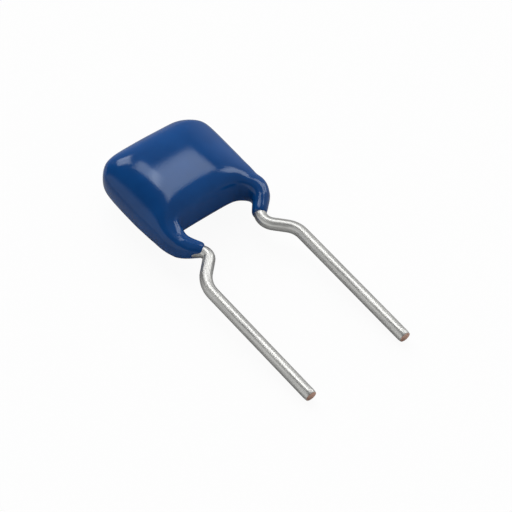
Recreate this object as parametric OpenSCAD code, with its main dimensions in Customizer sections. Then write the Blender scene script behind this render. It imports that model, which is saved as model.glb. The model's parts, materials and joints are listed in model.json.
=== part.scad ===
// Polyester film capacitor: a stack of metallised polyester film with sprayed
// metal ends and two kinked wire leads, dipped in blue epoxy.
// The body is drawn flat, leads towards -Y, and then laid down the way it comes
// to rest: on the rounded lower edge of its back and on the tips of its leads.

/* [Body] */
// Width of the dipped body, across the leads
body_w = 5.58; // [5.5:0.01:6]
// How far the body reaches above the middle of its film element
body_up = 2.31; // [2.2:0.01:2.6]
// How far the body reaches below it, without its shoulders
body_down = 2.1; // [2:0.01:2.2]
// Thickness of the dipped body
body_t = 2.48; // [2.4:0.01:3]
// Fullness of the rounding on the sides and the top, where 2 is an ellipse
side_fullness = 2.2; // [2:0.1:3]
// Fullness of the rounding along the bottom
foot_fullness = 4; // [2.5:0.1:5]
// Flatness of the faces, where 2 is an ellipse
flatness = 3; // [2.5:0.1:4]
// Squareness of the outline's upper left corner, where 2 is an ellipse
left_corner = 5; // [4:0.1:6]
// Squareness of the outline's upper right corner
right_corner = 4; // [3.6:0.1:6]
// Squareness of the lower corners, which run into the shoulders
lower_corner = 8; // [5:0.5:10]

/* [Leads] */
// Distance between the straight ends of the leads
lead_pitch = 5.0; // [4.8:0.1:5.4]
// Diameter of the lead wire
wire_d = 0.55; // [0.5:0.01:0.6]
// Distance from the middle of the body to the tips
lead_reach = 12.25; // [8:0.01:20]
// Distance between the two wires inside the body
inner_pitch = 4.3; // [4.2:0.02:4.36]
// Depth at which the left wire turns inwards below the body
left_turn_y = -3.27; // [-3.4:0.01:-3.1]
// How far across the corner of the left kink lies
left_kink_x = -1.22; // [-1.4:0.01:-1.1]
// Depth of the corner of the left kink
left_kink_y = -3.98; // [-4.1:0.01:-3.9]
// Depth of the left wire's last corner, where it turns straight down
left_flare_y = -5.18; // [-5.6:0.01:-5]
// Depth at which the right wire turns inwards below the body
right_turn_y = -3.09; // [-3.2:0.01:-2.9]
// How far across the corner of the right kink lies
right_kink_x = 1.4; // [1.3:0.01:1.5]
// Depth of the corner of the right kink
right_kink_y = -3.97; // [-4.1:0.01:-3.9]
// Depth of the right wire's last corner, where it turns straight down
right_flare_y = -5.13; // [-5.6:0.01:-5]

/* [Coating on the leads] */
// Radius of the coating where it leaves the body on the left wire
left_shoulder_r = 0.6; // [0.5:0.01:0.62]
// Radius of the coating where it leaves the body on the right wire
right_shoulder_r = 0.6; // [0.5:0.01:0.62]
// Radius of the coating where it ends on the wire
tongue_r = 0.33; // [0.31:0.01:0.36]
// How far the coating sags to the inside of the left wire
left_sag = 0.1; // [0:0.01:0.12]
// How far the coating bulges to the outside of the right wire
right_bulge = 0.19; // [0:0.01:0.2]

/* [Film element] */
// Height of the film stack
stack_h = 2.6; // [2.2:0.1:2.7]
// Thickness of the film stack without its cover films
stack_t = 1.3; // [1:0.1:1.4]
// Thickness of each plain cover film
cover_t = 0.12; // [0.08:0.01:0.14]
// Thickness of each sprayed metal end
spray_t = 0.32; // [0.2:0.01:0.4]
// How deep a wire sits in the sprayed metal
wire_sink = 0.08; // [0.04:0.01:0.1]

/* [Hidden] */
$fn = 48;

wire_r = wire_d / 2;
wire_x = inner_pitch / 2;
wire_top = 1.2;

// How tightly the wires are bent: at the turn inwards, at the kink and at the flare.
turn_bend = 1.0;
left_kink_bend = 0.4;
right_kink_bend = 0.65;
left_flare_bend = 1.4;
right_flare_bend = 1.0;

// Centre line of each wire: [corner, bend radius], from inside the body to the tip.
left_route = [
    [[-wire_x, wire_top], 0],
    [[-wire_x, left_turn_y], turn_bend],
    [[left_kink_x, left_kink_y], left_kink_bend],
    [[-lead_pitch / 2, left_flare_y], left_flare_bend],
    [[-lead_pitch / 2, -lead_reach], 0]
];
right_route = [
    [[wire_x, wire_top], 0],
    [[wire_x, right_turn_y], turn_bend],
    [[right_kink_x, right_kink_y], right_kink_bend],
    [[lead_pitch / 2, right_flare_y], right_flare_bend],
    [[lead_pitch / 2, -lead_reach], 0]
];

// The film element, from the inside out.
spray_face = wire_x - wire_r + wire_sink;
stack_w = 2 * (spray_face - spray_t);
element_t = stack_t + 2 * cover_t;

// The solder bead wraps the wire, and is thickest against the sprayed end.
bead_r = 0.385;
bead_back = 0.06;
bead_l = 1.8;

// A bend is a hair thicker than the wire, and each straight runs this far into it.
bend_swell = 0.006;
weld_in = 0.05;

// How the coating thins along a wire: how late, and how much deeper than wide at first.
left_taper = 1.4;
right_taper = 1.1;
root_depth = 0.18;
depth_fade = 4;
root_square = 2.4; // squareness of its section at first
square_fade = 2;
// Where along the wire the coating sags or bulges most: early below 1, late above.
left_sag_skew = 2.4;
right_bulge_skew = 0.5;
// How quickly the corners lose their squareness from the rim to the face.
upper_fade = 1;
lower_fade = 4;
ellipse = 2;

// How finely the coating is drawn.
level_steps = 12;
last_level = 83; // where the rounding gives way to the flat of the face, of 90
outline_steps = 72;
bend_steps = 6;
root_steps = 4;
tube_sides = 24;
sleeve_rise = 0.7; // how far above the body's lower edge a sleeve begins
sleeve_end = 0.25; // share of the kink's bend that is coated

// Levels through the thickness, closest together where the rounding is tightest.
half_t = body_t / 2;
levels = [for (k = [-level_steps:level_steps])
    sign(k) * half_t * pow(1 - pow(cos(last_level * k / level_steps), flatness), 1 / side_fullness)];

// Resting place: how far the body leans before its tips touch the table.
lean = lean_between(0, 20, 24);
top_reach = max([for (z = levels) body_up * narrowed(z, side_fullness) * cos(lean) + z * sin(lean)]);
tip_span = lead_reach * cos(lean) + wire_r * sin(lean);
rest_z = foot_reach(lean);
rest_y = (tip_span - top_reach) / 2;

// Share of its reach at mid-thickness that the body still has at a level.
function narrowed(z, fullness) = pow(max(0, 1 - pow(abs(z) / half_t, fullness)), 1 / flatness);

// How far down the body reaches when it leans by an angle.
function foot_reach(angle) =
    max([for (z = levels) body_down * narrowed(z, foot_fullness) * sin(angle) + z * cos(angle)]);

// Height of the lead tips above the table when the body leans by an angle.
function tip_gap(angle) = foot_reach(angle) - lead_reach * sin(angle) - wire_r * cos(angle);

// The angle at which the tips touch, found by halving the span.
function lean_between(low, high, steps) =
    let (middle = (low + high) / 2)
    steps == 0 ? middle
    : tip_gap(middle) > 0 ? lean_between(middle, high, steps - 1)
    : lean_between(low, middle, steps - 1);

function unit(v) = v / norm(v);

// The arc that rounds one corner of a route: [start, end, centre, turn angle].
function bend(route, i) =
    let (
        into = unit(route[i][0] - route[i - 1][0]),
        away = unit(route[i + 1][0] - route[i][0]),
        side = sign(into[0] * away[1] - into[1] * away[0]),
        turn = acos(into * away),
        run = route[i][1] * tan(turn / 2),
        start = route[i][0] - run * into
    )
    [start, route[i][0] + run * away, start + route[i][1] * side * [-into[1], into[0]], side * turn];

// Points along one bend, over a share of it.
function bend_points(route, i, share) =
    let (arc = bend(route, i), out = arc[0] - arc[2])
    [for (k = [0:bend_steps])
        let (a = arc[3] * share * k / bend_steps)
        arc[2] + [out[0] * cos(a) - out[1] * sin(a), out[0] * sin(a) + out[1] * cos(a)]];

// Squareness of the outline at a level and an angle, down to an ellipse at the faces.
function squareness(z, a) =
    let (
        corner = sin(a) < 0 ? lower_corner : cos(a) > 0 ? right_corner : left_corner,
        fade = sin(a) < 0 ? lower_fade : upper_fade,
        fullness = sin(a) < 0 ? foot_fullness : side_fullness
    )
    ellipse + (corner - ellipse) * pow(narrowed(z, fullness), fade);

// The body's outline at a level, anticlockwise.
function outline(z) =
    [for (k = [0:outline_steps - 1])
        let (
            a = 360 * k / outline_steps,
            half_w = body_w / 2 * narrowed(z, side_fullness),
            half_h = sin(a) < 0
                ? body_down * narrowed(z, foot_fullness)
                : body_up * narrowed(z, side_fullness),
            power = squareness(z, a),
            out = pow(pow(abs(cos(a)) / half_w, power) + pow(abs(sin(a)) / half_h, power), -1 / power)
        )
        [out * cos(a), out * sin(a), z]];

// How far along a line one of its points lies.
function travelled(line, i) = i == 0 ? 0 : travelled(line, i - 1) + norm(line[i] - line[i - 1]);

// Closes rings of points into a solid.
module skin(rings) {
    n = len(rings[0]);
    last = len(rings) - 1;
    sides = [for (i = [0:last - 1], k = [0:n - 1])
        let (a = i * n + k, b = i * n + (k + 1) % n)
        each [[a, b + n, b], [a, a + n, b + n]]];
    floor_face = [for (k = [0:n - 1]) k];
    top_face = [for (k = [n - 1:-1:0]) last * n + k];
    polyhedron([for (ring = rings) each ring], concat(sides, [floor_face, top_face]));
}

// The dipped body without its shoulders.
module pillow() {
    skin([for (z = levels) outline(z)]);
}

// Coating that runs down a wire from inside the body and thins out to a tongue.
module sleeve(route, root_r, taper, bulge, skew) {
    side = sign(route[0][0][0]);
    foot = [route[0][0][0], -body_down];
    turn = bend(route, 1)[0];
    line = concat(
        [foot + [0, sleeve_rise]],
        [for (k = [0:root_steps - 1]) foot + (turn - foot) * k / root_steps],
        bend_points(route, 1, 1),
        bend_points(route, 2, sleeve_end)
    );
    last = len(line) - 1;
    coated = travelled(line, last) - sleeve_rise;
    skin([for (i = [0:last])
        let (
            along = unit(line[min(i + 1, last)] - line[max(i - 1, 0)]),
            outward = side * [-along[1], along[0]],
            share = max(0, travelled(line, i) - sleeve_rise) / coated,
            half_w = tongue_r + (root_r - tongue_r) * (1 - pow(share, taper)),
            half_d = half_w * (1 + root_depth * pow(max(0, 1 - share), depth_fade)),
            middle = line[i] + bulge * sin(180 * pow(share, skew)) * outward,
            power = ellipse + (root_square - ellipse) * pow(max(0, 1 - share), square_fade)
        )
        [for (k = [0:tube_sides - 1])
            let (
                a = 360 * k / tube_sides,
                out = pow(pow(abs(cos(a)), power) + pow(abs(sin(a)), power), -1 / power)
            )
            concat(middle + half_w * out * cos(a) * [-along[1], along[0]], half_d * out * sin(a))]]);
}

// A round wire along a route: true cylinders that run a little way into true bends.
module wire(route) {
    last = len(route) - 1;
    for (i = [1:last]) {
        from = i == 1 ? route[0][0] : bend(route, i - 1)[1];
        to = i == last ? route[last][0] : bend(route, i)[0];
        ahead = unit(to - from) * weld_in;
        straight(from - (i == 1 ? 0 : 1) * ahead, to + (i == last ? 0 : 1) * ahead, wire_r);
    }
    for (i = [1:last - 1]) {
        arc = bend(route, i);
        out = arc[0] - arc[2];
        translate([arc[2][0], arc[2][1], 0])
            rotate([0, 0, atan2(out[1], out[0]) + min(0, arc[3])])
                rotate_extrude(angle = abs(arc[3]))
                    translate([norm(out), 0])
                        circle(r = wire_r + bend_swell);
    }
}

module straight(from, to, r) {
    step = to - from;
    translate([from[0], from[1], 0])
        rotate([0, 90, atan2(step[1], step[0])])
            cylinder(h = norm(step), r = r);
}

module block(size, middle) {
    translate(middle - size / 2)
        cube(size);
}

module spray_block(side) {
    block([spray_t, stack_h, element_t], [side * (spray_face - spray_t / 2), 0, 0]);
}

module bead_cylinder(side) {
    straight([side * (wire_x - bead_back), -bead_l / 2], [side * (wire_x - bead_back), bead_l / 2], bead_r);
}

// Everything the coating closes round.
module inside() {
    block([2 * spray_face, stack_h, element_t], [0, 0, 0]);
    bead_cylinder(-1);
    bead_cylinder(1);
    wire(left_route);
    wire(right_route);
}

module at_rest() {
    translate([0, rest_y, rest_z])
        rotate([lean, 0, 0])
            children();
}

// Blue epoxy, dipped on in one piece: body, shoulders and the tongues on the wires.
module epoxy_coating() {
    color("#1f4a8a")
        at_rest()
            difference() {
                union() {
                    pillow();
                    sleeve(left_route, left_shoulder_r, left_taper, -left_sag, left_sag_skew);
                    sleeve(right_route, right_shoulder_r, right_taper, right_bulge, right_bulge_skew);
                }
                inside();
            }
}

// Metallised polyester film, stacked and pressed: all its layers as one block.
module film_stack() {
    color("#c9ccd2")
        at_rest()
            block([stack_w, stack_h, stack_t], [0, 0, 0]);
}

// Plain film that covers the stack, one sheet to each face.
module cover_film(side) {
    color("#e6ecef")
        at_rest()
            block([stack_w, stack_h, cover_t], [0, 0, side * (stack_t + cover_t) / 2]);
}

// Sprayed metal that joins the film edges of one side, with the wire sunk into it.
module end_spray(side) {
    color("#9a9c9f")
        at_rest()
            difference() {
                spray_block(side);
                wire(side < 0 ? left_route : right_route);
            }
}

// Solder that holds the wire to the sprayed metal.
module solder_joint(side) {
    color("#b9bbbd")
        at_rest()
            difference() {
                bead_cylinder(side);
                block([2 * spray_face, stack_h, element_t], [0, 0, 0]);
                wire(side < 0 ? left_route : right_route);
            }
}

// Tinned copper wire, kinked once to stop at the board and cut off at the tip.
module lead(route) {
    color("#c8c9c8")
        at_rest()
            wire(route);
}

epoxy_coating();
film_stack();
cover_film(1);  // cover_film_front
cover_film(-1);  // cover_film_back
end_spray(-1);  // end_spray_left
end_spray(1);  // end_spray_right
solder_joint(-1);  // solder_joint_left
solder_joint(1);  // solder_joint_right
lead(left_route);  // lead_left
lead(right_route);  // lead_right
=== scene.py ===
"""A polyester film capacitor, lying on its back on a pale floor.

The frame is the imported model: its box, its lead pins and its inner parts. The
epoxy coating and the two leads are modelled here, in millimetres and flat, as the
part is drawn, and are then laid down in metres the way the part rests.
"""

import json
import math

import bmesh
import bpy
from mathutils import Matrix, Vector

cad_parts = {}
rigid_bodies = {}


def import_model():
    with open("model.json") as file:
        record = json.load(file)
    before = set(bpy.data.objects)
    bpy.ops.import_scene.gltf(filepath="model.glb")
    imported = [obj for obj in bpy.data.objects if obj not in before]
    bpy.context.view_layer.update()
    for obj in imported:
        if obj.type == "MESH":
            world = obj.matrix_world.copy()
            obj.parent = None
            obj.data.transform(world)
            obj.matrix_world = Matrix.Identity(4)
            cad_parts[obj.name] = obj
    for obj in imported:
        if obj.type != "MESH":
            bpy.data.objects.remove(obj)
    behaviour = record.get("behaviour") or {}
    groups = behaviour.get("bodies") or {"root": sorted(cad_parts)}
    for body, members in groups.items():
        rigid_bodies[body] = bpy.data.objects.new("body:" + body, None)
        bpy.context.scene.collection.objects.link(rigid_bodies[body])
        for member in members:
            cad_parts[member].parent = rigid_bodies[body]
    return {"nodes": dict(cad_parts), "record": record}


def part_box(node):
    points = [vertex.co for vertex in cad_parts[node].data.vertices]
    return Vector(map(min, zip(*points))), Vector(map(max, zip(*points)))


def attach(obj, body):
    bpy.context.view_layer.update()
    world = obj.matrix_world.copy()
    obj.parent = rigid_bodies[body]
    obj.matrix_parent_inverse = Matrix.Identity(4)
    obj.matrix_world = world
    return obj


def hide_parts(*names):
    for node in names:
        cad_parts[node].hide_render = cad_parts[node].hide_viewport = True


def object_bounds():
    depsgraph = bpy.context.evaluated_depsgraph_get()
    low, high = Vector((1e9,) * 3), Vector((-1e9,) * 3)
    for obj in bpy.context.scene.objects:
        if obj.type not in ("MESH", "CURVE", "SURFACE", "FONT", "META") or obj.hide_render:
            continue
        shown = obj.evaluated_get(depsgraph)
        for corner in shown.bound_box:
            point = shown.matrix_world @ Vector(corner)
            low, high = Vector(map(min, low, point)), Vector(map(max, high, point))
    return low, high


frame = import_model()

bl_info = {
    "name": "Polyester film capacitor",
    "version": (1, 0, 0),
    "blender": (4, 5, 0),
    "location": "3D View > Sidebar > Capacitor",
    "description": "Models a dipped polyester film capacitor with kinked leads",
    "category": "Object",
}

CAD_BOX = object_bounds()
MM = 0.001
BODY = "root"
PINS = {m["name"]: m for m in frame["record"]["mounts"]}
LEFT_PIN, RIGHT_PIN = PINS["lead_pin_left"], PINS["lead_pin_right"]
WIRE_R = LEFT_PIN["dims"]["r_mm"]
PITCH = (RIGHT_PIN["pos_m"][0] - LEFT_PIN["pos_m"][0]) / MM
LEAN = math.atan2(-LEFT_PIN["axis"][2], -LEFT_PIN["axis"][1])


# ---------------------------------------------------------------- the resting place

def body_middle():
    """Where the body's middle lies, in metres: the inner stack is centred on it."""
    low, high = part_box("film_stack")
    return (low + high) / 2


def lay_down(piece):
    """Takes a piece from its flat drawing, in millimetres, to where it rests."""
    piece.matrix_world = (
        Matrix.Translation(body_middle())
        @ Matrix.Rotation(LEAN, 4, "X")
        @ Matrix.Scale(MM, 4)
    )
    only(piece)
    bpy.ops.object.transform_apply(location=True, rotation=True, scale=True)


# ---------------------------------------------------------------- working in edit mode

def only(piece):
    """Makes a piece the one that is selected and active."""
    bpy.ops.object.select_all(action="DESELECT")
    piece.select_set(True)
    bpy.context.view_layer.objects.active = piece


def clear_selection():
    for item in bpy.context.view_layer.objects:
        item.select_set(False)
    bpy.context.view_layer.objects.active = None


def edit(piece):
    only(piece)
    bpy.ops.object.mode_set(mode="EDIT")
    bpy.ops.mesh.select_mode(type="VERT")


def leave_edit():
    bpy.ops.object.mode_set(mode="OBJECT")


def pick_points(piece, chosen):
    """Selects the vertices that a test on their number and place says yes to."""
    bpy.ops.mesh.select_mode(type="VERT")
    bpy.ops.mesh.select_all(action="DESELECT")
    mesh = bmesh.from_edit_mesh(piece.data)
    mesh.verts.index_update()
    for v in mesh.verts:
        v.select_set(bool(chosen(v.index, v.co)))
    mesh.select_flush_mode()
    bmesh.update_edit_mesh(piece.data)


def pick_faces(piece, chosen):
    """Selects the faces that a test on their middle says yes to."""
    bpy.ops.mesh.select_mode(type="FACE")
    bpy.ops.mesh.select_all(action="DESELECT")
    mesh = bmesh.from_edit_mesh(piece.data)
    for f in mesh.faces:
        f.select_set(bool(chosen(f.calc_center_median())))
    bmesh.update_edit_mesh(piece.data)


def picked(piece):
    mesh = bmesh.from_edit_mesh(piece.data)
    return [v.co.copy() for v in mesh.verts if v.select]


def move(offset):
    bpy.ops.transform.translate(value=tuple(offset))


def extrude(offset):
    bpy.ops.mesh.extrude_region_move(TRANSFORM_OT_translate={"value": tuple(offset)})


def resize(factors, centre=(0, 0, 0)):
    bpy.ops.transform.resize(value=tuple(factors), center_override=tuple(centre))


def turn(angle, axis, centre):
    """Turns what is selected; with no window the operator turns the other way."""
    bpy.ops.transform.rotate(
        value=-angle, orient_axis=axis, center_override=tuple(centre)
    )


def apply_modifier(piece, kind, **settings):
    only(piece)
    modifier = piece.modifiers.new(kind.title(), kind)
    for name, value in settings.items():
        setattr(modifier, name, value)
    bpy.ops.object.modifier_apply(modifier=modifier.name)


def smooth(piece):
    only(piece)
    bpy.ops.object.shade_smooth()


# ---------------------------------------------------------------- materials

# Patterns in the finishes: the real size of their parts and the depth of their relief,
# in metres, and how strongly the relief shows.
CLOUD_SIZE = 1.4 * MM
PEEL_SIZE, PEEL_DEPTH, PEEL_STRENGTH = 0.06 * MM, 0.01 * MM, 0.25
TEAR_SIZE, TEAR_DEPTH, TEAR_STRENGTH = 0.07 * MM, 0.02 * MM, 0.4
LAYER_SIZE, LAYER_DEPTH, LAYER_STRENGTH = 0.05 * MM, 0.01 * MM, 0.4
HAZE_SIZE = 0.5 * MM
DROPLET_SIZE, DROPLET_DEPTH, DROPLET_STRENGTH = 0.06 * MM, 0.03 * MM, 0.6
RIPPLE_SIZE, RIPPLE_DEPTH, RIPPLE_STRENGTH = 0.15 * MM, 0.03 * MM, 0.5
FIBRE_SIZE = 0.2 * MM
# The same for the wires, whose patterns are counted to the millimetre of straight wire.
STREAKS_ACROSS, STREAKS_ALONG = 16.0, 0.55
STREAK_DEPTH, STREAK_STRENGTH = 0.02 * MM, 0.5
PITS_PER_MM, PIT_DEPTH, PIT_STRENGTH = 14.0, 0.01 * MM, 0.22
# How far apart a wave texture's bands are at a scale of one, and how much they waver.
WAVE_SPACING, WAVER = 0.3, 0.3
# How rough the finishes are, from their smoothest parts to their dullest.
TIN_SMOOTH, TIN_DULL = 0.32, 0.50
SHEET_SMOOTH, SHEET_DULL = 0.08, 0.20
COPPER_ROUGHNESS, FILM_ROUGHNESS = 0.50, 0.35
ZINC_ROUGHNESS, SOLDER_ROUGHNESS = 0.60, 0.28
# How far the film's edges and the sprayed zinc look like bare metal, how far the
# sheets let light through, how strongly the plastics bend it, and the epoxy's gloss.
FILM_METAL, ZINC_METAL = 0.6, 0.8
SHEET_CLEARNESS = 0.5
EPOXY_IOR, POLYESTER_IOR = 1.5, 1.6
GLOSS_TINT = "#E7F3FF"
WHITE = (1.0, 1.0, 1.0, 1.0)


def linear(hex_colour):
    """An sRGB hex colour as linear red, green, blue and alpha."""
    parts = [int(hex_colour[i : i + 2], 16) / 255 for i in (1, 3, 5)]
    return tuple(
        p / 12.92 if p <= 0.04045 else ((p + 0.055) / 1.055) ** 2.4 for p in parts
    ) + (1.0,)


def new_material(name):
    """A material with its shader, and its node tree."""
    material = bpy.data.materials.new(name)
    material.use_nodes = True
    tree = material.node_tree
    return material, tree, tree.nodes["Principled BSDF"]


def add_node(tree, kind, links=None, ramp=(), **settings):
    """Adds a node, sets its properties, sockets or ramp, and links what feeds it."""
    node = tree.nodes.new(kind)
    for name, value in settings.items():
        if hasattr(node, name):
            setattr(node, name, value)
        else:
            node.inputs[name.replace("_", " ")].default_value = value
    for n, (position, colour) in enumerate(ramp):
        if n == len(node.color_ramp.elements):
            node.color_ramp.elements.new(position)
        node.color_ramp.elements[n].position = position
        node.color_ramp.elements[n].color = colour
    for name, source in (links or {}).items():
        tree.links.new(source, node.inputs[name])
    return node


def wear(piece, material):
    """Puts a material in every slot of a piece."""
    if not piece.data.materials:
        piece.data.materials.append(material)
    for i in range(len(piece.data.materials)):
        piece.data.materials[i] = material


def epoxy_finish(settings):
    """Dipped epoxy: blue pigment under a glossy skin that set with a fine orange peel.

    It gives the eye a deep, slightly cloudy blue, and clear highlights with a
    soft rim and a cool tint.
    """
    material, tree, shader = new_material("dipped_blue_epoxy")
    place = add_node(tree, "ShaderNodeTexCoord").outputs["Object"]
    cloud = add_node(
        tree, "ShaderNodeTexNoise", {"Vector": place}, Scale=1 / CLOUD_SIZE, Detail=2.0
    )
    shades = add_node(
        tree,
        "ShaderNodeValToRGB",
        {"Fac": cloud.outputs["Fac"]},
        ramp=((0.3, settings.deep_blue), (0.7, settings.bright_blue)),
    )
    tree.links.new(shades.outputs["Color"], shader.inputs["Base Color"])
    peel = add_node(
        tree, "ShaderNodeTexNoise", {"Vector": place}, Scale=1 / PEEL_SIZE, Detail=3.0
    )
    bump = add_node(
        tree,
        "ShaderNodeBump",
        {"Height": peel.outputs["Fac"]},
        Strength=PEEL_STRENGTH,
        Distance=PEEL_DEPTH,
    )
    tree.links.new(bump.outputs["Normal"], shader.inputs["Normal"])
    shader.inputs["Roughness"].default_value = settings.roughness
    shader.inputs["IOR"].default_value = EPOXY_IOR
    shader.inputs["Specular Tint"].default_value = linear(GLOSS_TINT)
    return material


def tin_finish(settings):
    """Hot-tinned wire: soft bright metal, streaked lengthwise by the drawing die.

    Its streaks are a few hundredths of a millimetre wide and run unbroken round
    the kinks, so they follow the wire as it was before it was bent.
    """
    material, tree, shader = new_material("drawn_tinned_copper")
    unbent = add_node(tree, "ShaderNodeAttribute", attribute_name="unbent")
    place = unbent.outputs["Vector"]
    stretched = add_node(
        tree,
        "ShaderNodeMapping",
        {"Vector": place},
        Scale=(STREAKS_ACROSS, STREAKS_ALONG, STREAKS_ACROSS),
    )
    streak = add_node(
        tree,
        "ShaderNodeTexNoise",
        {"Vector": stretched.outputs["Vector"]},
        Scale=1.0,
        Detail=4.0,
    )
    grain = add_node(
        tree, "ShaderNodeTexNoise", {"Vector": place}, Scale=PITS_PER_MM, Detail=3.0
    )
    shades = add_node(
        tree,
        "ShaderNodeValToRGB",
        {"Fac": streak.outputs["Fac"]},
        ramp=((0.35, settings.dull_tin), (0.65, settings.bright_tin)),
    )
    tree.links.new(shades.outputs["Color"], shader.inputs["Base Color"])
    dull = add_node(
        tree,
        "ShaderNodeMapRange",
        {"Value": grain.outputs["Fac"]},
        To_Min=TIN_SMOOTH,
        To_Max=TIN_DULL,
    )
    tree.links.new(dull.outputs["Result"], shader.inputs["Roughness"])
    lines = add_node(
        tree,
        "ShaderNodeBump",
        {"Height": streak.outputs["Fac"]},
        Strength=STREAK_STRENGTH,
        Distance=STREAK_DEPTH,
    )
    pits = add_node(
        tree,
        "ShaderNodeBump",
        {"Height": grain.outputs["Fac"], "Normal": lines.outputs["Normal"]},
        Strength=PIT_STRENGTH,
        Distance=PIT_DEPTH,
    )
    tree.links.new(pits.outputs["Normal"], shader.inputs["Normal"])
    shader.inputs["Metallic"].default_value = 1.0
    return material


def copper_finish(settings):
    """Sheared copper: the wire's bare core, torn dull and pale by the cutter."""
    material, tree, shader = new_material("sheared_copper")
    place = add_node(tree, "ShaderNodeTexCoord").outputs["Object"]
    tear = add_node(
        tree, "ShaderNodeTexNoise", {"Vector": place}, Scale=1 / TEAR_SIZE, Detail=3.0
    )
    shades = add_node(
        tree,
        "ShaderNodeValToRGB",
        {"Fac": tear.outputs["Fac"]},
        ramp=((0.3, settings.dull_copper), (0.7, settings.bright_copper)),
    )
    tree.links.new(shades.outputs["Color"], shader.inputs["Base Color"])
    bump = add_node(
        tree,
        "ShaderNodeBump",
        {"Height": tear.outputs["Fac"]},
        Strength=TEAR_STRENGTH,
        Distance=TEAR_DEPTH,
    )
    tree.links.new(bump.outputs["Normal"], shader.inputs["Normal"])
    shader.inputs["Metallic"].default_value = 1.0
    shader.inputs["Roughness"].default_value = COPPER_ROUGHNESS
    return material


def film_finish(settings):
    """Metallised polyester film, pressed flat: silvery layers seen edge-on.

    The real layers are a few thousandths of a millimetre thick, and are drawn
    ten times as coarse so that they show.
    """
    material, tree, shader = new_material("metallised_polyester_film")
    place = add_node(tree, "ShaderNodeTexCoord").outputs["Object"]
    level = add_node(
        tree,
        "ShaderNodeVectorRotate",
        {"Vector": place},
        rotation_type="X_AXIS",
        Angle=-LEAN,
    )
    layers = add_node(
        tree,
        "ShaderNodeTexWave",
        {"Vector": level.outputs["Vector"]},
        bands_direction="Z",
        Scale=WAVE_SPACING / LAYER_SIZE,
        Distortion=WAVER,
    )
    shades = add_node(
        tree,
        "ShaderNodeValToRGB",
        {"Fac": layers.outputs["Fac"]},
        ramp=((0.2, settings.film_shade), (0.8, settings.film_light)),
    )
    tree.links.new(shades.outputs["Color"], shader.inputs["Base Color"])
    bump = add_node(
        tree,
        "ShaderNodeBump",
        {"Height": layers.outputs["Fac"]},
        Strength=LAYER_STRENGTH,
        Distance=LAYER_DEPTH,
    )
    tree.links.new(bump.outputs["Normal"], shader.inputs["Normal"])
    shader.inputs["Metallic"].default_value = FILM_METAL
    shader.inputs["Roughness"].default_value = FILM_ROUGHNESS
    return material


def sheet_finish(settings):
    """Plain polyester sheet: clear and smooth, with a milky haze in its thickness."""
    material, tree, shader = new_material("clear_polyester_sheet")
    place = add_node(tree, "ShaderNodeTexCoord").outputs["Object"]
    haze = add_node(
        tree, "ShaderNodeTexNoise", {"Vector": place}, Scale=1 / HAZE_SIZE, Detail=2.0
    )
    shades = add_node(
        tree,
        "ShaderNodeValToRGB",
        {"Fac": haze.outputs["Fac"]},
        ramp=((0.3, settings.sheet_shade), (0.7, settings.sheet_light)),
    )
    tree.links.new(shades.outputs["Color"], shader.inputs["Base Color"])
    dull = add_node(
        tree,
        "ShaderNodeMapRange",
        {"Value": haze.outputs["Fac"]},
        To_Min=SHEET_SMOOTH,
        To_Max=SHEET_DULL,
    )
    tree.links.new(dull.outputs["Result"], shader.inputs["Roughness"])
    shader.inputs["Transmission Weight"].default_value = SHEET_CLEARNESS
    shader.inputs["IOR"].default_value = POLYESTER_IOR
    return material


def zinc_finish(settings):
    """Flame-sprayed zinc: frozen droplets that leave a matt, sandy grey crust."""
    material, tree, shader = new_material("sprayed_zinc")
    place = add_node(tree, "ShaderNodeTexCoord").outputs["Object"]
    drops = add_node(
        tree, "ShaderNodeTexVoronoi", {"Vector": place}, Scale=1 / DROPLET_SIZE
    )
    shades = add_node(
        tree,
        "ShaderNodeValToRGB",
        {"Fac": drops.outputs["Distance"]},
        ramp=((0.1, settings.zinc_light), (0.7, settings.zinc_shade)),
    )
    tree.links.new(shades.outputs["Color"], shader.inputs["Base Color"])
    bump = add_node(
        tree,
        "ShaderNodeBump",
        {"Height": drops.outputs["Distance"]},
        Strength=DROPLET_STRENGTH,
        Distance=-DROPLET_DEPTH,
    )
    tree.links.new(bump.outputs["Normal"], shader.inputs["Normal"])
    shader.inputs["Metallic"].default_value = ZINC_METAL
    shader.inputs["Roughness"].default_value = ZINC_ROUGHNESS
    return material


def solder_finish(settings):
    """Solder frozen from the melt: bright grey, with shallow ripples where it ran."""
    material, tree, shader = new_material("frozen_solder")
    place = add_node(tree, "ShaderNodeTexCoord").outputs["Object"]
    ripple = add_node(
        tree, "ShaderNodeTexNoise", {"Vector": place}, Scale=1 / RIPPLE_SIZE, Detail=2.0
    )
    shades = add_node(
        tree,
        "ShaderNodeValToRGB",
        {"Fac": ripple.outputs["Fac"]},
        ramp=((0.3, settings.solder_shade), (0.7, settings.solder_light)),
    )
    tree.links.new(shades.outputs["Color"], shader.inputs["Base Color"])
    bump = add_node(
        tree,
        "ShaderNodeBump",
        {"Height": ripple.outputs["Fac"]},
        Strength=RIPPLE_STRENGTH,
        Distance=RIPPLE_DEPTH,
    )
    tree.links.new(bump.outputs["Normal"], shader.inputs["Normal"])
    shader.inputs["Metallic"].default_value = 1.0
    shader.inputs["Roughness"].default_value = SOLDER_ROUGHNESS
    return material


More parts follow.
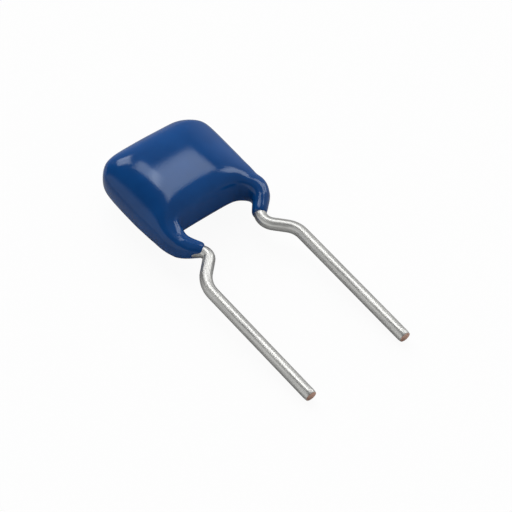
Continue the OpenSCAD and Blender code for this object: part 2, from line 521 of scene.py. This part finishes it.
def card_finish(settings):
    """White card: matt, nearly white to the eye and dim in gloss, shadows kept."""
    material, tree, shader = new_material("matt_white_card")
    place = add_node(tree, "ShaderNodeTexCoord").outputs["Object"]
    fibre = add_node(
        tree, "ShaderNodeTexNoise", {"Vector": place}, Scale=1 / FIBRE_SIZE, Detail=2.0
    )
    shades = add_node(
        tree,
        "ShaderNodeValToRGB",
        {"Fac": fibre.outputs["Fac"]},
        ramp=((0.2, settings.card_shade), (0.8, settings.card_light)),
    )
    tree.links.new(shades.outputs["Color"], shader.inputs["Base Color"])
    shader.inputs["Roughness"].default_value = 1.0
    shader.inputs["Specular IOR Level"].default_value = 0.0
    # the eye sees it as white as the glow makes it; gloss and glass see it dimmed
    path = add_node(tree, "ShaderNodeLightPath").outputs
    seen = add_node(
        tree,
        "ShaderNodeMapRange",
        {"Value": path["Is Camera Ray"]},
        To_Max=settings.card_glow,
    )
    mirrored = add_node(
        tree,
        "ShaderNodeMath",
        {0: path["Is Glossy Ray"], 1: path["Is Transmission Ray"]},
        operation="MAXIMUM",
    )
    share = add_node(
        tree,
        "ShaderNodeMath",
        {0: mirrored.outputs["Value"], 2: seen.outputs["Result"]},
        operation="MULTIPLY_ADD",
    )
    share.inputs[1].default_value = settings.card_dimness
    white = add_node(
        tree, "ShaderNodeEmission", {"Strength": path["Is Camera Ray"]}, Color=WHITE
    )
    card, glow = shader.outputs["BSDF"], white.outputs["Emission"]
    mix = add_node(
        tree, "ShaderNodeMixShader", {0: share.outputs["Value"], 1: card, 2: glow}
    )
    output = tree.nodes["Material Output"]
    tree.links.new(mix.outputs["Shader"], output.inputs["Surface"])
    return material


# ---------------------------------------------------------------- the coating

# Where the box cage is cut: columns out from the middle, rows up from the bottom, and
# levels out from the middle of the thickness.
COLUMNS = (0.0, 1.1, 1.6, 2.15, 2.78)
ROWS = (-2.13, -1.78, -1.3, 0.0, 1.1, 1.65, 2.24)
LEVELS = (0.0, 0.6, 1.27)
CAGE_SIZE = (2 * COLUMNS[-1], ROWS[-1] - ROWS[0], 2 * LEVELS[-1])
# A point this close to a cut is on it, and faces whose middles lie below the second
# make up the cage's underside.
ON_CUT = 1e-5
UNDERSIDE = 0.96 * ROWS[0]
# The stretch where the body flows into the shoulders, and how its points are evened.
RUN_OUT = (-3.1, -1.1)
EVENING, EVENINGS = 0.5, 10
# How high the face's cage stands over each column, from the bottom row to the top.
FACE_HEIGHTS = (
    (0.78, 0.78, 0.78, 0.75, 0.56),
    (1.04, 1.04, 0.99, 0.86, 0.59),
    (1.20, 1.19, 1.10, 0.91, 0.61),
    (1.27, 1.25, 1.15, 0.93, 0.61),
    (1.21, 1.19, 1.09, 0.90, 0.60),
    (1.02, 1.01, 0.95, 0.82, 0.58),
    (0.62, 0.62, 0.61, 0.58, 0.50),
)


def cut(axis, at):
    """Cuts everything across one axis."""
    place = [0.0, 0.0, 0.0]
    place[axis] = at
    facing = [0.0, 0.0, 0.0]
    facing[axis] = 1.0
    bpy.ops.mesh.select_all(action="SELECT")
    bpy.ops.mesh.bisect(plane_co=place, plane_no=facing, threshold=ON_CUT)


def box_cage(size):
    """The box that the body is shaped from, cut where its rounding begins."""
    clear_selection()
    bpy.ops.mesh.primitive_cube_add(size=2)
    piece = bpy.context.object
    edit(piece)
    bpy.ops.mesh.select_all(action="SELECT")
    resize([s / 2 for s in size])
    move((0.0, (ROWS[0] + ROWS[-1]) / 2, 0.0))
    for at in COLUMNS[:-1]:
        for side in (-1, 1) if at else (1,):
            cut(0, side * at)
    for at in ROWS[1:-1]:
        cut(1, at)
    for at in LEVELS[:-1]:
        for side in (-1, 1) if at else (1,):
            cut(2, side * at)
    return piece


def nearest(places, value):
    return min(range(len(places)), key=lambda i: abs(places[i] - value))


# Steps that round the cage. Columns, rows and levels are counted from the middle
# outwards, or from the bottom up; then come the factors that draw the chosen points
# in and the distances that move them.
SIDE, RIM, INNER_RIM, CROWN = 4, 3, 2, 1
FACE, SHELF = 2, 1
BOTTOM, TOP = 0, 6
BOTH, LEFT, RIGHT = (-1, 0, 1), (-1,), (1,)
ACROSS, ALONG, DEEP = range(5), range(7), range(3)
KEEP, STAY = (1.0, 1.0, 1.0), (0.0, 0.0, 0.0)
SHAPING = (
    # the walls round off from the middle of the thickness to the faces
    (BOTH, (SIDE,), ALONG, (SHELF,), (0.996, 1.0, 0.60), STAY),
    (BOTH, (SIDE,), ALONG, (FACE,), (0.948, 1.0, 1.0), STAY),
    (BOTH, ACROSS, (TOP,), (SHELF,), (1.0, 0.997, 0.60), STAY),
    (BOTH, ACROSS, (TOP,), (FACE,), (1.0, 0.955, 1.0), STAY),
    (BOTH, ACROSS, (BOTTOM,), (SHELF,), (1.0, 1.0, 0.75), STAY),
    (BOTH, ACROSS, (BOTTOM,), (FACE,), (1.0, 0.975, 1.0), STAY),
    (BOTH, (SIDE,), (TOP, BOTTOM), (SHELF,), (1.0, 1.0, 1.4), STAY),
    # corners of the outline
    (BOTH, (SIDE,), (TOP,), DEEP, (0.885, 0.845, 1.0), STAY),
    (BOTH, (RIM,), (TOP,), DEEP, (1.0, 0.95, 1.0), STAY),
    (BOTH, (SIDE,), (TOP - 1,), DEEP, (0.964, 0.945, 1.0), STAY),
    (BOTH, (SIDE,), (BOTTOM,), DEEP, (0.97, 1.0, 1.0), STAY),
    # the lower edge arches up between the shoulders
    (BOTH, (0, CROWN), (BOTTOM,), DEEP, KEEP, (0.0, 0.045, 0.0)),
    # the dip left the top fuller on the left than on the right
    ((-1, 0), (0, CROWN, INNER_RIM, RIM), (TOP, TOP - 1), DEEP, KEEP, (0.0, 0.06, 0.0)),
    (LEFT, (SIDE,), (TOP, TOP - 1), DEEP, KEEP, (0.01, 0.02, 0.0)),
    (LEFT, (SIDE,), (TOP - 3,), DEEP, KEEP, (-0.018, 0.0, 0.0)),
    (LEFT, (SIDE,), (BOTTOM + 1,), DEEP, KEEP, (0.03, 0.0, 0.0)),
    (RIGHT, (SIDE, RIM), (TOP,), DEEP, KEEP, (-0.09, -0.10, 0.0)),
    (RIGHT, (SIDE,), (BOTTOM, BOTTOM + 1), DEEP, KEEP, (0.06, 0.0, 0.0)),
)


def shape_body(piece):
    """Rounds the cage by drawing in its edges and corners."""
    mesh = bmesh.from_edit_mesh(piece.data)
    mesh.verts.index_update()
    address = {}
    for v in mesh.verts:
        column = nearest(COLUMNS, abs(v.co.x))
        half = 0 if column == 0 else int(math.copysign(1, v.co.x))
        row, level = nearest(ROWS, v.co.y), nearest(LEVELS, abs(v.co.z))
        address[v.index] = (half, column, row, level)
    for row, heights in enumerate(FACE_HEIGHTS):
        for column, height in enumerate(heights):
            pick_points(piece, lambda n, co: address[n][1:] == (column, row, FACE))
            resize((1.0, 1.0, height / LEVELS[FACE]))
    for *chosen, factors, offset in SHAPING:
        pick_points(
            piece,
            lambda n, co: all(at in among for at, among in zip(address[n], chosen)),
        )
        resize(factors)
        move(offset)


# One ring after another down each shoulder: where its middle lies across and along,
# its turn in degrees, its half width across and deep, and how round it has become.
LEFT_RINGS = (
    (-2.10, -2.32, 0.0, 0.66, 0.72, 0.4),
    (-2.105, -2.60, 2.0, 0.64, 0.65, 0.8),
    (-2.11, -2.88, 8.0, 0.58, 0.60, 1.0),
    (-2.00, -3.15, 22.0, 0.535, 0.54, 1.0),
    (-1.80, -3.39, 36.0, 0.45, 0.46, 1.0),
    (-1.58, -3.60, 42.0, 0.375, 0.39, 1.0),
    (-1.44, -3.77, 42.0, 0.335, 0.335, 1.0),
    (-1.43, -3.78, 42.0, 0.22, 0.22, 1.0),
)
RIGHT_RINGS = (
    (2.26, -2.30, 0.0, 0.64, 0.72, 0.4),
    (2.36, -2.54, -2.0, 0.595, 0.65, 0.8),
    (2.355, -2.80, -8.0, 0.535, 0.58, 1.0),
    (2.22, -3.06, -24.0, 0.455, 0.49, 1.0),
    (2.00, -3.29, -38.0, 0.39, 0.42, 1.0),
    (1.80, -3.49, -40.0, 0.375, 0.38, 1.0),
    (1.64, -3.64, -40.0, 0.335, 0.335, 1.0),
    (1.63, -3.65, -40.0, 0.22, 0.22, 1.0),
)


def middle_of(points):
    return sum(points, Vector()) / len(points)


def grow_shoulder(piece, side, rings):
    """Extrudes the coating down one wire, ring by ring, to its tongue."""
    inner, outer = COLUMNS[INNER_RIM], COLUMNS[SIDE]
    pick_faces(piece, lambda c: c.y < UNDERSIDE and inner < side * c.x < outer)
    angle = 0.0
    for across, along, tilt, half_width, half_depth, roundness in rings:
        offset = Vector((across, along, 0.0)) - middle_of(picked(piece))
        extrude(offset)
        middle = middle_of(picked(piece))
        # a ring is pressed flat until the shoulder has begun to turn
        resize((1.0, 1.0 if angle else 0.0, 1.0), middle)
        bpy.ops.mesh.region_to_loop()
        bpy.ops.transform.tosphere(value=roundness)
        ring = [p - middle for p in picked(piece)]
        bpy.ops.mesh.loop_to_region()
        width = max(math.hypot(p.x, p.y) for p in ring)
        depth = max(abs(p.z) for p in ring)
        factor = half_width / width
        resize((factor, factor if angle else 1.0, half_depth / depth), middle)
        turn(math.radians(tilt) - angle, "Z", middle)
        angle = math.radians(tilt)


def build_coating(settings):
    """Shapes the body and its two shoulders as one cage, then rounds them off."""
    piece = box_cage(CAGE_SIZE)
    shape_body(piece)
    bpy.ops.mesh.select_all(action="SELECT")
    wanted = (settings.width, settings.height, settings.thickness)
    resize([size / (MM * drawn) for size, drawn in zip(wanted, CAGE_SIZE)])
    grow_shoulder(piece, -1, LEFT_RINGS)
    grow_shoulder(piece, 1, RIGHT_RINGS)
    bpy.ops.mesh.select_all(action="SELECT")
    bpy.ops.mesh.normals_make_consistent(inside=False)
    leave_edit()
    piece.name = piece.data.name = "dipped_coating"
    apply_modifier(piece, "SUBSURF", levels=2, render_levels=2)
    # the epoxy ran smooth where the body flows into the shoulders
    edit(piece)
    low, high = RUN_OUT
    pick_points(piece, lambda n, co: low < co.y < high)
    bpy.ops.mesh.vertices_smooth(factor=EVENING, repeat=EVENINGS)
    leave_edit()
    apply_modifier(piece, "SUBSURF", levels=1, render_levels=1)
    smooth(piece)
    return piece


# ---------------------------------------------------------------- the leads

# How high the wires reach inside the body, how far their tips stand from its middle,
# and how far from the middle they run inside it.
WIRE_TOP = 1.2
LEAD_REACH = 12.25
INNER = 2.15
# Each wire's corners from the shoulder down: how low it turns in and the radius that it
# bends to there, the place and radius of its kink, and how low it turns straight again
# and the radius there.
CORNERS = {
    "left": ((-3.27, 1.0), (-1.22, -3.98, 0.4), (-5.18, 1.4)),
    "right": ((-3.09, 1.0), (1.40, -3.97, 0.65), (-5.13, 1.0)),
}
# How the cutter nipped the ends a little flat: step by step, the factors that resize
# the ring, and how far it is then drawn out.
NIPPED_END = (((0.93, 1.0, 0.82), 0.03), ((1.04, 1.0, 1.06), 0.16))
# How finely a wire is drawn: round it, along its straights, along its bends, and along
# the line that its streaks follow.
RING_SIDES = 32
STRAIGHT_STEP = 0.3
BEND_STEP, LEAST_BEND_STEPS = 0.08, 4
ARC_STEPS = 24
# Points closer than the first are one; a face is the cut end if it is within the second
# of the tip; a stretch shorter than the third has no direction.
WELD, CUT_TOLERANCE, NO_LENGTH = 1e-4, 1e-3, 1e-6


def lead_route(side, reach):
    """A wire's corners from the top down: each one's place and its bend radius."""
    x = -1 if side == "left" else 1
    (turn_y, turn_r), (kink_x, kink_y, kink_r), (end_y, end_r) = CORNERS[side]
    return (
        ((x * INNER, WIRE_TOP), 0.0),
        ((x * INNER, turn_y), turn_r),
        ((kink_x, kink_y), kink_r),
        ((x * PITCH / 2, end_y), end_r),
        ((x * PITCH / 2, -reach), 0.0),
    )


def bend(route, n):
    """The arc that rounds one corner: its start, end, centre and turn in radians."""
    here = Vector(route[n][0])
    into = (here - Vector(route[n - 1][0])).normalized()
    away = (Vector(route[n + 1][0]) - here).normalized()
    radius = route[n][1]
    side = math.copysign(1.0, into.x * away.y - into.y * away.x)
    angle = math.acos(max(-1.0, min(1.0, into.dot(away))))
    run = radius * math.tan(angle / 2)
    start = here - run * into
    centre = start + radius * side * Vector((-into.y, into.x))
    return start, here + run * away, centre, side * angle


def build_lead(name, route, radius):
    """A wire drawn from its cut tip up through its kink into the body."""
    path = list(reversed(route))
    clear_selection()
    x, tip = path[0][0]
    bpy.ops.mesh.primitive_circle_add(
        vertices=RING_SIDES,
        radius=radius,
        fill_type="NOTHING",
        location=(x, tip, 0.0),
        rotation=(math.pi / 2, 0.0, 0.0),
    )
    piece = bpy.context.object
    piece.name = piece.data.name = name
    only(piece)
    bpy.ops.object.transform_apply(location=True, rotation=True, scale=True)
    edit(piece)
    bpy.ops.mesh.select_all(action="SELECT")
    for factors, run in NIPPED_END:
        resize(factors, (x, tip, 0.0))
        extrude((0.0, run, 0.0))
    points = picked(piece)
    middle = middle_of(points)
    width = max(abs(p.x - middle.x) for p in points)
    depth = max(abs(p.z - middle.z) for p in points)
    resize((radius / width, 1.0, radius / depth), middle)
    here = Vector((middle.x, middle.y))
    for n in range(1, len(path) - 1):
        start, end, centre, angle = bend(path, n)
        steps = max(1, round((start - here).length / STRAIGHT_STEP))
        for _ in range(steps):
            step = (start - here) / steps
            extrude((step.x, step.y, 0.0))
        bpy.ops.mesh.spin(
            steps=max(LEAST_BEND_STEPS, round(abs(angle) * path[n][1] / BEND_STEP)),
            angle=-angle,
            center=(centre.x, centre.y, 0.0),
            axis=(0.0, 0.0, 1.0),
        )
        here = end
    last = Vector(path[-1][0]) - here
    extrude((last.x, last.y, 0.0))
    bpy.ops.mesh.edge_face_add()
    pick_points(piece, lambda n, co: co.y < tip + CUT_TOLERANCE)
    bpy.ops.mesh.edge_face_add()
    bpy.ops.mesh.select_all(action="SELECT")
    bpy.ops.mesh.remove_doubles(threshold=WELD)
    bpy.ops.mesh.normals_make_consistent(inside=False)
    leave_edit()
    return piece


def path_points(route):
    """Points along the middle of a wire, close together where it bends."""
    corners = [Vector(route[0][0])]
    for n in range(1, len(route) - 1):
        start, _, centre, angle = bend(route, n)
        for k in range(ARC_STEPS + 1):
            out = start - centre
            out.rotate(Matrix.Rotation(angle * k / ARC_STEPS, 2))
            corners.append(centre + out)
    corners.append(Vector(route[-1][0]))
    return corners


def unbend(piece, route):
    """Stores where each point would be if the wire were straight, for its streaks."""
    line = path_points(route)
    lengths = [0.0]
    for a, b in zip(line, line[1:]):
        lengths.append(lengths[-1] + (b - a).length)
    store = piece.data.attributes.new("unbent", "FLOAT_VECTOR", "POINT")
    for v in piece.data.vertices:
        flat = Vector((v.co.x, v.co.y))
        best = None
        for i, (a, b) in enumerate(zip(line, line[1:])):
            run = (b - a).length
            if run < NO_LENGTH:
                continue
            along = (b - a) / run
            t = max(0.0, min(run, (flat - a).dot(along)))
            gap = (flat - a - t * along).length
            if best is None or gap < best[0]:
                side = (flat - a).x * along.y - (flat - a).y * along.x
                best = (gap, lengths[i] + t, side)
        store.data[v.index].vector = (best[2], -best[1], v.co.z)


# ---------------------------------------------------------------- floor, light, camera

# As the flat part is drawn: the way back to the camera, the way in which the flat
# face throws its view, and the two directions square to that.
TO_CAMERA = Vector((-0.41, -0.4485, 0.7942))
THROWN = Vector((-TO_CAMERA.x, -TO_CAMERA.y, TO_CAMERA.z))
ASIDE = Vector((THROWN.z, 0.0, -THROWN.x)).normalized()
ALOFT = THROWN.cross(ASIDE)
# What the camera looks at, the width that it takes in there and the width of its film,
# in millimetres.
AIM = Vector((0.165, -5.30, 0.0))
VIEW_WIDTH = 21.44
FILM_WIDTH = 36.0
# The floor's width, what a lamp's distance of one stands for, and from where on the
# camera sees, in metres.
FLOOR_SIZE = 2.0
LAMP_AWAY = 0.5
SEEN_FROM = 0.01
# Softboxes: where their middles stand aside and aloft of the thrown view, their half
# width and half height, all for a distance of one, their turn in degrees, and how
# bright they are.
SOFTBOXES = (
    (-0.155, -0.12, 0.28, 0.195, 0.0, 2.6),
    (-0.31, 0.13, 0.15, 0.135, 0.0, 2.6),
    (0.37, -0.44, 0.21, 0.15, 22.0, 3.0),
    (-0.24, 0.60, 0.25, 0.12, 38.0, 3.2),
    (0.90, -0.50, 0.20, 0.15, 0.0, 2.6),
)
# Broad light from behind the part and from before it, and how many degrees it spreads.
SKY_LIGHT = Vector((0.40, 0.85, 0.35))
ROOM_LIGHT = Vector((0.25, -0.95, 0.15))
LIGHT_SPREAD = 60.0


def stand(direction):
    """Turns a direction from the flat drawing to how the part lies."""
    return Matrix.Rotation(LEAN, 3, "X") @ direction


def lay_floor(settings):
    """Lays a wide white card under the part."""
    clear_selection()
    bpy.ops.mesh.primitive_plane_add(size=FLOOR_SIZE, location=(0.0, 0.0, CAD_BOX[0].z))
    floor = bpy.context.object
    floor.name = floor.data.name = "floor"
    bpy.ops.object.transform_apply(location=True, rotation=True, scale=True)
    wear(floor, card_finish(settings))


def set_camera(settings):
    """Looks down at the part from its lower left, from far off."""
    aim = body_middle() + stand(AIM) * MM
    back = stand(TO_CAMERA).normalized()
    away = VIEW_WIDTH * MM * settings.lens / FILM_WIDTH
    bpy.ops.object.camera_add(location=aim + back * away)
    camera = bpy.context.object
    camera.rotation_euler = (-back).to_track_quat("-Z", "Y").to_euler()
    camera.data.lens = settings.lens
    camera.data.sensor_width = FILM_WIDTH
    camera.data.clip_start = SEEN_FROM
    bpy.context.scene.camera = camera


def add_softbox(aside, aloft, half_width, half_height, turned, radiance):
    """A lit rectangle that faces the part."""
    offset = THROWN + aside * ASIDE + aloft * ALOFT
    away = LAMP_AWAY * offset.length
    back = stand(offset).normalized()
    tilt = math.radians(turned)
    across = stand(math.cos(tilt) * ASIDE + math.sin(tilt) * ALOFT)
    across = (across - across.dot(back) * back).normalized()
    up = back.cross(across)
    bpy.ops.object.light_add(type="AREA", location=body_middle() + back * away)
    lamp = bpy.context.object
    lamp.rotation_euler = Matrix((across, up, back)).transposed().to_euler()
    lamp.data.shape = "RECTANGLE"
    lamp.data.size = 2 * LAMP_AWAY * half_width
    lamp.data.size_y = 2 * LAMP_AWAY * half_height
    lamp.data.energy = radiance * math.pi * lamp.data.size * lamp.data.size_y


def add_broad_light(direction, strength):
    """Light from one side of the room, too wide and even to show in gloss."""
    back = stand(direction)
    bpy.ops.object.light_add(type="SUN", location=body_middle() + back * LAMP_AWAY)
    lamp = bpy.context.object
    lamp.rotation_euler = back.to_track_quat("Z", "Y").to_euler()
    lamp.data.angle = math.radians(LIGHT_SPREAD)
    lamp.data.energy = strength * math.pi
    lamp.visible_glossy = False


def studio_world(settings):
    """A plain studio: pale walls left and right, a dim ceiling, a dark gap."""
    world = bpy.data.worlds.new("studio")
    world.use_nodes = True
    tree = world.node_tree
    place = add_node(tree, "ShaderNodeTexCoord").outputs["Generated"]
    across = add_node(tree, "ShaderNodeSeparateXYZ", {"Vector": place}).outputs["X"]
    side = add_node(tree, "ShaderNodeMapRange", {"Value": across}, From_Min=-1.0)
    shades = add_node(
        tree,
        "ShaderNodeValToRGB",
        {"Fac": side.outputs["Result"]},
        ramp=(
            (0.2, settings.left_wall),
            (0.26, settings.dark_gap),
            (0.4, settings.dark_gap),
            (0.5, settings.ceiling),
            (0.8, settings.ceiling),
            (0.95, settings.right_wall),
        ),
    )
    tree.links.new(shades.outputs["Color"], tree.nodes["Background"].inputs["Color"])
    return world


# ---------------------------------------------------------------- settings

def colour_setting(name, description, hex_colour):
    """A colour that the user can change, given as its sRGB hex."""
    return bpy.props.FloatVectorProperty(
        name=name,
        description=description,
        subtype="COLOR",
        size=4,
        min=0.0,
        max=1.0,
        default=linear(hex_colour),
    )


def length_setting(name, description, millimetres):
    """A length that the user can change, given in millimetres."""
    return bpy.props.FloatProperty(
        name=name,
        description=description,
        unit="LENGTH",
        precision=5,
        min=0.1 * MM,
        default=millimetres * MM,
    )


class CoatingSettings(bpy.types.PropertyGroup):
    """Sizes and colours of the dipped coating."""

    width: length_setting(
        "Body width", "Width across the leads, before rounding", CAGE_SIZE[0]
    )
    height: length_setting(
        "Body height", "Height without the shoulders, before rounding", CAGE_SIZE[1]
    )
    thickness: length_setting(
        "Body thickness", "Thickness at the middle, before rounding", CAGE_SIZE[2]
    )
    deep_blue: colour_setting("Deep blue", "Darker shade of the epoxy", "#04386F")
    bright_blue: colour_setting("Bright blue", "Lighter shade of the epoxy", "#08407B")
    roughness: bpy.props.FloatProperty(
        name="Roughness",
        description="How dull the epoxy's skin is",
        subtype="FACTOR",
        min=0.0,
        max=1.0,
        default=0.08,
    )


class LeadSettings(bpy.types.PropertyGroup):
    """Sizes and colours of the two leads."""

    radius: length_setting("Wire radius", "Radius of the tinned wire", WIRE_R)
    reach: length_setting(
        "Reach", "How far the cut tips stand from the body's middle", LEAD_REACH
    )
    dull_tin: colour_setting("Dull tin", "Darker streaks of the tin", "#CCCCCA")
    bright_tin: colour_setting("Bright tin", "Brighter streaks of the tin", "#E6E6E2")
    dull_copper: colour_setting("Dull copper", "Darker cut ends", "#F0BAA2")
    bright_copper: colour_setting("Bright copper", "Lighter cut ends", "#FBDDCC")


class InsideSettings(bpy.types.PropertyGroup):
    """Colours of what lies inside the coating."""

    film_shade: colour_setting("Film edges", "Darker lines of the stack", "#8C8E92")
    film_light: colour_setting("Film layers", "Lighter lines of the stack", "#C8CACE")
    sheet_shade: colour_setting("Sheet haze", "Clouded parts of the sheets", "#D4DADF")
    sheet_light: colour_setting("Sheet", "Clear parts of the sheets", "#EEF2F4")
    zinc_shade: colour_setting("Zinc hollows", "Between sprayed droplets", "#7C7D80")
    zinc_light: colour_setting("Zinc", "Tops of sprayed droplets", "#B4B5B8")
    solder_shade: colour_setting("Solder hollows", "Dips in the solder", "#A9A9A8")
    solder_light: colour_setting("Solder", "Crests of the solder", "#D2D2D0")


class StageSettings(bpy.types.PropertyGroup):
    """The floor, the light round the part and the camera."""

    card_shade: colour_setting("Card shade", "Darker fibres of the floor", "#D4D4D4")
    card_light: colour_setting("Card", "Lighter fibres of the floor", "#DCDCDC")
    card_glow: bpy.props.FloatProperty(
        name="Card whiteness",
        description="How far the card is shown plain white instead of as it is lit",
        subtype="FACTOR",
        min=0.0,
        max=1.0,
        default=0.94,
    )
    card_dimness: bpy.props.FloatProperty(
        name="Card dimness in gloss",
        description="How far the card is darkened in what shiny parts mirror",
        subtype="FACTOR",
        min=0.0,
        max=1.0,
        default=0.5,
    )
    left_wall: colour_setting("Left wall", "Light from the left", "#DADADA")
    dark_gap: colour_setting("Dark gap", "Between left wall and ceiling", "#5A5A5A")
    ceiling: colour_setting("Ceiling", "Light from above, before and behind", "#8A8A8A")
    right_wall: colour_setting("Right wall", "Light from the right", "#C0C0C0")
    daylight: bpy.props.FloatProperty(
        name="Daylight",
        description="Brightness of the broad light from behind the part",
        min=0.0,
        max=4.0,
        default=1.05,
    )
    room_light: bpy.props.FloatProperty(
        name="Room light",
        description="Brightness of the broad light from before the part",
        min=0.0,
        max=4.0,
        default=0.4,
    )
    lens: bpy.props.FloatProperty(
        name="Lens",
        description="Focal length; the camera steps back to keep the part's size",
        unit="CAMERA",
        min=50.0,
        max=400.0,
        default=250.0,
    )


# ---------------------------------------------------------------- operators

class CAPACITOR_OT_inside(bpy.types.Operator):
    """Finish the film stack, its cover sheets, the sprayed ends and the solder"""

    bl_idname = "capacitor.inside"
    bl_label = "Inner parts"

    def execute(self, context):
        settings = context.scene.capacitor_inside
        nodes = frame["nodes"]
        wear(nodes["film_stack"], film_finish(settings))
        sheet = sheet_finish(settings)
        for face in ("front", "back"):
            wear(nodes["cover_film_" + face], sheet)
        zinc = zinc_finish(settings)
        solder = solder_finish(settings)
        for side in ("left", "right"):
            wear(nodes["end_spray_" + side], zinc)
            wear(nodes["solder_joint_" + side], solder)
        return {"FINISHED"}


class CAPACITOR_OT_coating(bpy.types.Operator):
    """Model the dipped epoxy coating with its two sloping shoulders"""

    bl_idname = "capacitor.coating"
    bl_label = "Dipped coating"

    def execute(self, context):
        settings = context.scene.capacitor_coating
        piece = build_coating(settings)
        lay_down(piece)
        wear(piece, epoxy_finish(settings))
        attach(piece, BODY)
        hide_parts("epoxy_coating")
        return {"FINISHED"}


class CAPACITOR_OT_leads(bpy.types.Operator):
    """Model the two kinked leads"""

    bl_idname = "capacitor.leads"
    bl_label = "Kinked leads"

    def execute(self, context):
        settings = context.scene.capacitor_leads
        tin = tin_finish(settings)
        copper = copper_finish(settings)
        for side in ("left", "right"):
            route = lead_route(side, settings.reach / MM)
            piece = build_lead("tinned_lead_" + side, route, settings.radius / MM)
            unbend(piece, route)
            smooth(piece)
            wear(piece, tin)
            piece.data.materials.append(copper)
            tip = route[-1][0][1]
            for face in piece.data.polygons:
                if face.center.y < tip + CUT_TOLERANCE:
                    face.material_index = 1
                    face.use_smooth = False
            lay_down(piece)
            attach(piece, BODY)
            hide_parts("lead_" + side)
        return {"FINISHED"}


class CAPACITOR_OT_stage(bpy.types.Operator):
    """Set up the floor, the light and the camera"""

    bl_idname = "capacitor.stage"
    bl_label = "Stage"

    def execute(self, context):
        settings = context.scene.capacitor_stage
        lay_floor(settings)
        set_camera(settings)
        for softbox in SOFTBOXES:
            add_softbox(*softbox)
        add_broad_light(SKY_LIGHT, settings.daylight)
        add_broad_light(ROOM_LIGHT, settings.room_light)
        context.scene.world = studio_world(settings)
        context.scene.view_settings.view_transform = "Standard"
        return {"FINISHED"}


class CAPACITOR_PT_panel(bpy.types.Panel):
    """Sizes, colours and the steps that model the capacitor"""

    bl_idname = "CAPACITOR_PT_panel"
    bl_label = "Film capacitor"
    bl_space_type = "VIEW_3D"
    bl_region_type = "UI"
    bl_category = "Capacitor"

    def draw(self, context):
        for operator, store, settings in STEPS:
            box = self.layout.box()
            for name in settings.__annotations__:
                box.prop(getattr(context.scene, store), name)
            box.operator(operator.bl_idname)


# The steps in their order: each operator, and where its settings are kept.
STEPS = (
    (CAPACITOR_OT_inside, "capacitor_inside", InsideSettings),
    (CAPACITOR_OT_coating, "capacitor_coating", CoatingSettings),
    (CAPACITOR_OT_leads, "capacitor_leads", LeadSettings),
    (CAPACITOR_OT_stage, "capacitor_stage", StageSettings),
)


def register():
    for operator, store, settings in STEPS:
        bpy.utils.register_class(settings)
        bpy.utils.register_class(operator)
        setattr(bpy.types.Scene, store, bpy.props.PointerProperty(type=settings))
    bpy.utils.register_class(CAPACITOR_PT_panel)


def unregister():
    bpy.utils.unregister_class(CAPACITOR_PT_panel)
    for operator, store, settings in reversed(STEPS):
        delattr(bpy.types.Scene, store)
        bpy.utils.unregister_class(operator)
        bpy.utils.unregister_class(settings)


def main():
    register()
    bpy.ops.capacitor.inside()
    bpy.ops.capacitor.coating()
    bpy.ops.capacitor.leads()
    bpy.ops.capacitor.stage()


if __name__ == "__main__":
    main()
